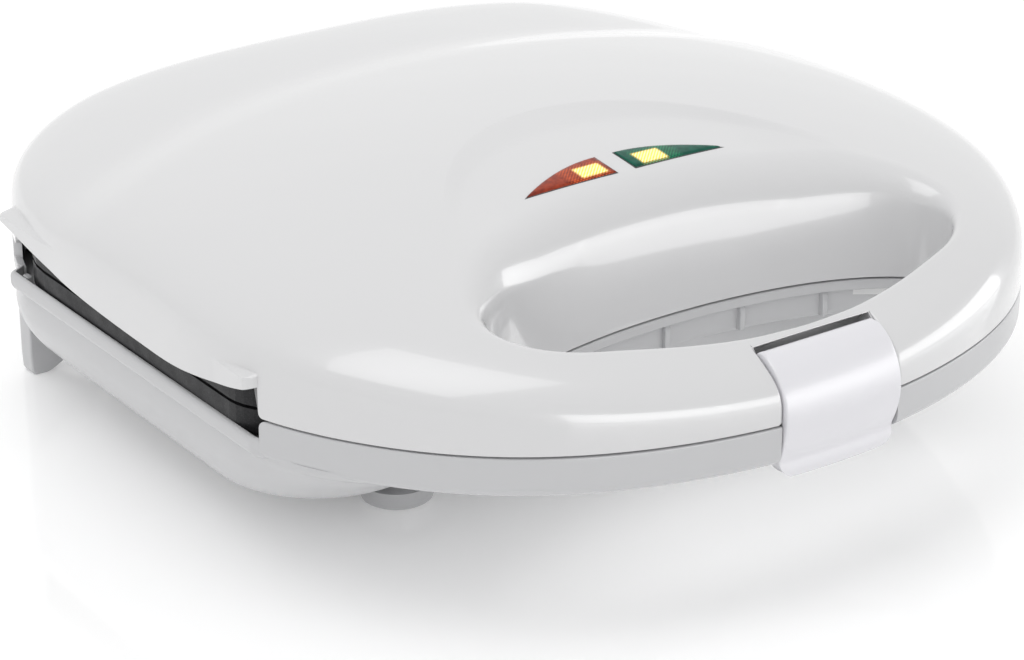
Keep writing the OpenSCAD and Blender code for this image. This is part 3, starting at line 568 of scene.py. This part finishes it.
# the floor drops into the belly under the cooking plate
px_, py_ = np.abs(BR[:, :, 0]) - (101 - 26), np.abs(BR[:, :, 1] - 15.5) - (59.5 - 26)
pit = 26 - np.hypot(np.maximum(px_, 0), np.maximum(py_, 0)) - np.minimum(np.maximum(px_, py_), 0)
BR[:, :, 2] -= np.where(BR[:, :, 2] < 38.35, 16.0 * smooth(pit, 0.0, 3.5), 0)
bl = BR[1:-1][::-1].copy(); bl[:, :, 0] *= -1
BRF = np.concatenate([BR, bl], 0)
mesh_obj("base_ring", BRF.reshape(-1, 3), grid_faces(BRF.shape[0], NS, True, True), M_BASE_SHADED, "base", ["bottom_cover"], sharp=42)

# ribs on the recessed wall of the hole
for i, x in enumerate((-44, -22, 0, 22, 44)):
    yb = float(np.interp(abs(x), TAB[:6, 0], TAB[:6, 1])) + 1.6
    P = []; fcs = []
    hw = 0.8
    prof = [(yb + 1.2, 37.0), (yb - 1.35, 37.0), (yb - 1.35, 42.4), (yb - 0.9, 43.4), (yb + 1.2, 43.4)]
    for s in (-1, 1):
        for (y, z) in prof: P.append((x + s * hw, y, z))
    n = len(prof); fcs = [list(range(n)), list(range(n, 2 * n))[::-1]] + [[j, (j + 1) % n, n + (j + 1) % n, n + j] for j in range(n)]
    mesh_obj("hole_rib_%d" % i, P, fcs, M_BASE_SHADED, "base", bevel=0.3)

# ---------------------------------------------------------------- belly
ROWS = np.array([
    [38.0, 108.9, -83, 112.5, 45], [36.4, 108.9, -82, 113.5, 45], [34.5, 108.8, -76, 113.3, 42], [32, 108.6, -69, 112.8, 38], [29, 108.1, -62, 112.2, 34], [25, 106.6, -54, 111.2, 30],
    [20, 103.9, -46.2, 109.8, 28], [15, 99.3, -37.8, 107.5, 27], [10, 94.3, -28.8, 104, 27], [7.5, 91.0, -24.5, 101.2, 27], [6.1, 87.6, -20, 98.6, 26], [5.3, 84, -16, 95.5, 25], [5.0, 79.5, -11.5, 91.5, 24]])
zc = np.cumsum(np.concatenate([[0], np.hypot(np.diff(ROWS[:, 0]), np.diff(ROWS[:, 1]) + 0.3 * np.diff(ROWS[:, 2]))]))
fz = [spline(zc, ROWS[:, j]) for j in range(5)]
tq = np.linspace(0, zc[-1], 54)
NR = 26


def rrect(hw, yf, yr, r):
    pts = []
    rr = min(r + 12, 58)
    cs = [(hw - r, yf + r, -90, r), (hw - rr, yr - rr, 0, rr), (-hw + rr, yr - rr, 90, rr), (-hw + r, yf + r, 180, r)]
    for (cx, cy, a0, q) in cs:
        for a in np.linspace(a0, a0 + 90, NR): pts.append((cx + q * math.cos(math.radians(a)), cy + q * math.sin(math.radians(a))))
    out = []
    n = len(pts)
    for i in range(n):
        out.append(pts[i])
        j = (i + 1) % n
        if (i + 1) % NR == 0:
            for t in np.linspace(0, 1, 26)[1:-1]: out.append((pts[i][0] * (1 - t) + pts[j][0] * t, pts[i][1] * (1 - t) + pts[j][1] * t))
    return np.array(out)


BL = []
for t in tq:
    z, hw, yf, yr, r = [float(f(t)) for f in fz]
    p = rrect(hw, yf, yr, r)
    lim = -51.5 - 45 * smooth(np.abs(p[:, 0]), 66, 88)
    p[:, 1] = np.where(p[:, 1] < -45, np.maximum(p[:, 1], lim), p[:, 1])
    BL.append(np.concatenate([p, np.full((len(p), 1), z)], 1))
inn = []
for p in BL[::-1]:
    q = p.copy(); d = q[:, :2] - np.array([0, 15.0]); L_ = np.linalg.norm(d, axis=1, keepdims=True)
    q[:, :2] -= d / L_ * 2.4; q[:, 2] = np.maximum(q[:, 2], 7.2)
    inn.append(q)
c = np.array([0, 40.0, 0.0])
cap_in = [np.stack([c[0] + (inn[0][:, 0] - c[0]) * s, c[1] + (inn[0][:, 1] - c[1]) * s, np.full(len(c0_), 7.2)], 1) for s in (0.1, 0.5, 0.9) for c0_ in (inn[0],)]
cap_out = [np.stack([c[0] + (BL[-1][:, 0] - c[0]) * s, c[1] + (BL[-1][:, 1] - c[1]) * s, np.full(len(c0_), 5.0)], 1) for s in (0.9, 0.5, 0.1) for c0_ in (BL[-1],)]
BL = np.array(cap_in + inn + BL + cap_out); nb_, mb_ = BL.shape[0], BL.shape[1]
fc = grid_faces(nb_, mb_, False, True) + [list(range(mb_)), list(range((nb_ - 1) * mb_, nb_ * mb_))]
mesh_obj("base_belly", BL.reshape(-1, 3), fc, M_BASE_SHADED, "base", sharp=50)

# seat of the cord inlet
seat = []
prof = [(0, 100), (9.6, 100), (9.6, 113.9), (9.3, 114.6), (8.6, 114.9), (6.4, 114.9), (6.4, 110), (0, 110)]
SG = 64
for (r, y) in prof[1:-1]:
    for a in range(SG):
        t = 2 * math.pi * a / SG; seat.append((-45 + r * math.cos(t), y, 22 + r * math.sin(t)))
nr = len(prof) - 2
mesh_obj("cord_seat", seat, grid_faces(nr, SG, False, True) + [list(range(SG)), list(range((nr - 1) * SG, nr * SG))], M_BASE_SHADED, "base", sharp=40)

# rear legs
LP = [(96.0, 37.5), (96.3, 20), (96.4, 6), (96.2, 1.2), (95.7, 0.3), (95.0, 0.0), (92.0, 0.0), (90.4, 0.35), (88.2, 1.4), (85, 3.3), (81, 5.6), (76, 8.0), (70, 10.3), (64, 12.2), (59.5, 13.4), (59.2, 20), (59.2, 37.5)]
for nm, s in (("right", 1), ("left", -1)):
    P = [(s * x, 95.1 + (0.0 if z > 3 else 0.0), z) for x, z in LP] + [(s * x, 100.9, z) for x, z in LP]
    n = len(LP)
    fcs = [list(range(n)), list(range(n, 2 * n))[::-1]] + [[j, (j + 1) % n, n + (j + 1) % n, n + j] for j in range(n)]
    mesh_obj("rear_leg_" + nm, P, fcs, M_BASE_SHADED, "base", bevel=0.5, sharp=30)

# small stops on the side ledge under the plate
for i, (s, y) in enumerate([(-1, 68.3), (-1, 19), (1, 68.3), (1, 19)]):
    P = [(s * (107.6 + a * 1.7), y + b * 1.3, 39.0 + c * 2.3) for a in (0, 1) for b in (-1, 1) for c in (0, 1)]
    fcs = [[0, 1, 3, 2], [4, 6, 7, 5], [0, 4, 5, 1], [2, 3, 7, 6], [0, 2, 6, 4], [1, 5, 7, 3]]
    mesh_obj("ledge_stop_%d" % i, P, fcs, M_BASE_SHADED, "base", bevel=0.35)

# ---------------------------------------------------------------- latch clip
CO = np.array([(-105.4, 60.35), (-106.3, 60.55), (-107.6, 60.3), (-109.4, 59.4), (-111.3, 58.0), (-113.2, 55.9), (-114.8, 53.3), (-115.8, 50.6), (-116.3, 47.8), (-116.2, 45.0), (-115.7, 42.3), (-115.0, 39.9), (-114.2, 38.0), (-113.9, 36.9), (-114.1, 35.6), (-114.4, 34.0), (-114.3, 32.9), (-113.6, 32.2), (-112.5, 32.1), (-111.6, 32.8), (-111.0, 34.0), (-110.2, 34.9), (-109.6, 35.3), (-109.5, 35.9), (-110.4, 36.2), (-111.6, 36.6), (-112.6, 38.2), (-113.4, 40.6), (-113.9, 43.4), (-113.8, 46.6), (-113.0, 49.6), (-111.6, 52.2), (-109.6, 54.2), (-107.4, 55.3), (-105.6, 55.6), (-104.6, 56.6), (-104.2, 58.2), (-104.5, 59.6)])
n = len(CO)
sc = np.concatenate([[0], np.cumsum(np.hypot(*np.diff(np.vstack([CO, CO[:1]]), axis=0).T))])
ext = np.concatenate([sc[:-1] - sc[-1], sc[:-1], sc[:-1] + sc[-1], [2 * sc[-1]]])
fy = spline(ext, np.concatenate([CO[:, 0]] * 3 + [CO[:1, 0]])); fzz = spline(ext, np.concatenate([CO[:, 1]] * 3 + [CO[:1, 1]]))
ss = np.linspace(0, sc[-1], 221)[:-1]
PR = np.stack([fy(ss), fzz(ss)], 1)
tg = np.roll(PR, -1, 0) - np.roll(PR, 1, 0); tg /= np.linalg.norm(tg, axis=1, keepdims=True)
nrm = np.stack([tg[:, 1], -tg[:, 0]], 1)
area = np.sum(PR[:, 0] * np.roll(PR[:, 1], -1) - np.roll(PR[:, 0], -1) * PR[:, 1])
if area > 0: nrm = -nrm          # nrm points into the material
HWC = 16.8
xs = np.concatenate([-HWC + 0.55 * (1 - np.cos(np.linspace(0, np.pi / 2, 7))), np.linspace(-HWC + 0.55, HWC - 0.55, 34)[1:-1], HWC - 0.55 * (1 - np.cos(np.linspace(np.pi / 2, 0, 7)))])
CG = []
cen = PR.mean(0)
for x in xs:
    e = HWC - abs(x); ins = round_end(np.array([e]), 0.55)[0]
    p = PR + nrm * min(ins, 0.5) * (1 if True else 0)
    # the face follows the curved front of the body
    bulge = 0.75 * (1 - (x / HWC) ** 2)
    y = p[:, 0] - bulge * smooth(-p[:, 0], 104, 112); z = p[:, 1].copy()
    xx = np.full(len(y), x)
    # tab corners are rounded in the front view
    low = np.clip((37.0 - z) / 4.9, 0, 1)
    lim = HWC - 5.6 * (1 - np.sqrt(np.clip(1 - low ** 2, 0, 1)))
    xx = np.sign(x) * np.minimum(abs(x), lim)
    top_ = np.clip((z - 58.9) / 1.8, 0, 1)
    lim2 = HWC - 1.6 * (1 - np.sqrt(np.clip(1 - top_ ** 2, 0, 1)))
    xx = np.sign(xx) * np.minimum(np.abs(xx), lim2)
    CG.append(np.stack([xx, y, z], 1))
CG = np.array(CG)
nc, mc = CG.shape[:2]
mesh_obj("clip", CG.reshape(-1, 3), grid_faces(nc, mc, False, True) + [list(range(mc)), list(range((nc - 1) * mc, nc * mc))], M_CLIP, "latch", ["latch_clip"], sharp=50)

# ---------------------------------------------------------------- lenses
def lens(name, s, mat, node):
    def outline(d):
        ts = np.linspace(0, 1, 26)
        base = [(2.9 + d, -35.3 + d)] + [(2.9 + d + (29.2 - 2.6 * d - 2.9 - d) * t, -35.3 + d + 0.15 * t) for t in np.linspace(0, 1, 14)[1:]]
        arc = []
        for t in ts[1:]:
            x = (29.2 - 2.6 * d) * (1 - t) + (2.9 + d) * t
            y = -35.15 + d + (8.75 - 2 * d) * np.sin(np.pi / 2 * t) ** 0.92 * (1 - 0.0 * t)
            arc.append((x, y))
        return np.array(base + arc)
    lv = []
    for d, h in ((0.05, -2.2), (0.05, 0.05), (0.12, 0.22), (0.35, 0.42), (0.75, 0.50), (1.5, 0.55), (2.4, 0.58)):
        o = outline(d)
        z = crown(o[:, 0], o[:, 1]) + h
        lv.append(np.stack([s * o[:, 0], o[:, 1], z], 1))
    lv = np.array(lv); a, b = lv.shape[:2]
    ob = mesh_obj(name, lv.reshape(-1, 3), grid_faces(a, b, False, True) + [list(range(b)), list(range((a - 1) * b, a * b))], mat, "lid", [node], sharp=50)
    lv = []
    for d, h in ((-0.28, -1.5), (-0.28, 0.04), (0.3, 0.05), (0.3, -1.5)):
        o = outline(d); z = crown(o[:, 0], o[:, 1]) + h
        lv.append(np.stack([s * o[:, 0], o[:, 1], z], 1))
    lv = np.array(lv); a, b = lv.shape[:2]
    mesh_obj(name + "_edge", lv.reshape(-1, 3), grid_faces(a, b, True, True), M_GASKET, "lid", sharp=50)
    return ob


lens("lens_red", -1, M_RED, "red_lens")
lens("lens_green", 1, M_GREEN, "green_lens")

# ---------------------------------------------------------------- carried over frame parts
MATS = {
    "upper_frame": M_FRAME, "lower_frame": M_FRAME, "upper_plate": M_PLATE, "lower_plate": M_PLATE, "upper_heater": M_TUBE, "lower_heater": M_TUBE,
    "upper_reflector": M_SHEET, "lower_reflector": M_SHEET, "thermostat": M_HOLDER, "thermal_fuse": M_HOLDER, "lamp_holder": M_HOLDER, "lamps": M_GLASS,
    "lid_hinge_arms": M_WHITE, "lid_screws": M_STEEL, "lid_wiring": M_SLEEVE, "latch_pin": M_STEEL, "base_hinge_block": M_BASE_SHADED, "hinge_pins": M_STEEL,
    "front_feet": M_BASE_SHADED, "foot_pads": M_RUB, "rear_pads": M_RUB, "cord_bush": M_FRAME, "terminal_block": M_HOLDER, "base_wiring": M_SLEEVE, "base_screws": M_STEEL}
for nm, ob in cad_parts.items():
    if nm in MATS:
        for sl in ob.material_slots: sl.material = MATS[nm]
        if not ob.material_slots: ob.data.materials.append(MATS[nm])

# ---------------------------------------------------------------- floor, light, camera
fl = bpy.data.meshes.new("floor")
R_ = 4.0
fl.from_pydata([(-R_, -R_, 0), (R_, -R_, 0), (R_, R_, 0), (-R_, R_, 0)], [], [(0, 1, 2, 3)])
floor = bpy.data.objects.new("floor", fl); bpy.context.scene.collection.objects.link(floor)
mf, ntf, bf = principled("floor_white", (0.90, 0.90, 0.90), 0.06)
vf = coords(ntf)
ntf.links.new(ramp(ntf, noise(ntf, vf, 3, 2), [(0.3, (0.895, 0.895, 0.895)), (0.7, (0.905, 0.905, 0.905))]), bf.inputs["Base Color"])
bf.inputs["Emission Color"].default_value = (1, 1, 1, 1); bf.inputs["Emission Strength"].default_value = 0.15
fl.materials.append(mf)

sc_ = bpy.context.scene
w = sc_.world or bpy.data.worlds.new("studio"); sc_.world = w; w.use_nodes = True
bg = w.node_tree.nodes.get("Background") or w.node_tree.nodes.new("ShaderNodeBackground")
bg.inputs["Color"].default_value = (1.0, 1.0, 1.0, 1); bg.inputs["Strength"].default_value = 0.97
sc_.view_settings.view_transform = "Standard"
sc_.view_settings.look = "None"
sc_.view_settings.exposure = 0.0


def area(name, loc, target, sx, sy, power, color=(1, 1, 1), diffuse=True, glossy=True):
    l = bpy.data.lights.new(name, "AREA"); l.shape = "RECTANGLE"; l.size = sx; l.size_y = sy; l.energy = power; l.color = color
    o = bpy.data.objects.new(name, l); sc_.collection.objects.link(o); o.location = loc
    from mathutils import Vector
    d = Vector(target) - Vector(loc); o.rotation_euler = d.to_track_quat("-Z", "Y").to_euler()
    o.visible_diffuse = diffuse; o.visible_glossy = glossy
    return o


area("top_box", (-0.35, 0.0, 1.1), (-0.05, 0, 0.05), 0.5, 0.9, 2.2, glossy=False)
# soft-edged boxes seen only as reflections: three nested sheets each
for i, az in enumerate((-95, -59, -23)):
    c, s_ = math.cos(math.radians(az)), math.sin(math.radians(az))
    for j, h in enumerate((0.56, 0.44, 0.32)):
        area("side_box_%d_%d" % (i, j), (1.4 * c, -0.05 + 1.4 * s_, 0.30), (0, -0.05, 0.07), 0.92, h, 2.6 * math.pi * 0.92 * h, diffuse=False)
for j, (a, b) in enumerate(((0.62, 1.08), (0.46, 0.84), (0.28, 0.56))):
    area("top_sheet_%d" % j, (-0.42, -0.14, 1.05), (-0.05, 0, 0.05), a, b, 1.4 * math.pi * a * b, diffuse=False)

cd = bpy.data.cameras.new("cam"); cam = bpy.data.objects.new("cam", cd); sc_.collection.objects.link(cam)
cam.location = (-0.4063, -0.5609, 0.3320)
cam.rotation_euler = (math.radians(65.95), 0, math.radians(-35.39))
cd.sensor_width = 36; cd.sensor_fit = "HORIZONTAL"; cd.lens = 104.38; cd.shift_x = 0.0029; cd.shift_y = -0.00195
cd.clip_start = 0.01; cd.clip_end = 20
sc_.camera = cam
